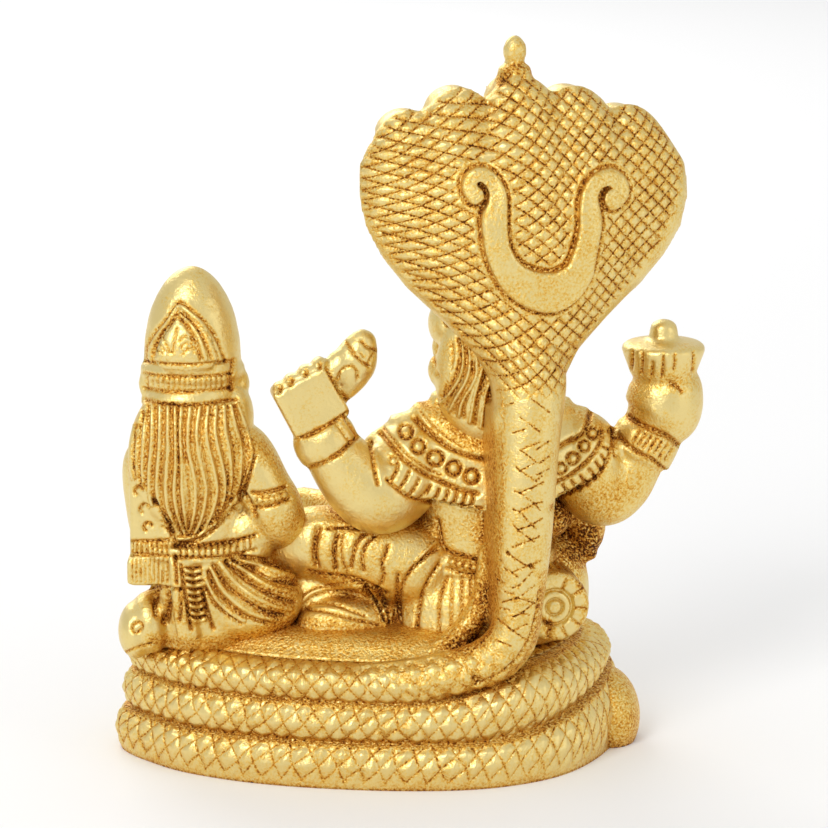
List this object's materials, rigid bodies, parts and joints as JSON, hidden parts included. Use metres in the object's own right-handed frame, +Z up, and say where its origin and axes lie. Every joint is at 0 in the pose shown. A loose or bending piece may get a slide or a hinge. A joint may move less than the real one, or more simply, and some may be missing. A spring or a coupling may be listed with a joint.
{
  "type": "household deity figure",
  "caption": "Seated four-armed deity with a seated goddess on a coiled serpent plinth, under a five-lobed serpent hood, cast as one solid brass figure.",
  "frame": {"origin": "middle of the coiled plinth's underside, on the surface it stands on", "axes": "+Z up, the figures face -Y, the goddess is on the +X side and the serpent's neck rises at the back, +Y"},
  "size_m": [0.0939, 0.0549, 0.115],
  "materials": {
    "brass": "cast and hand-chased, bright on the high places, dark orange-brown in the grooves"
  },
  "bodies": {
    "root": {"idol": "brass"}
  },
  "joints": []
}
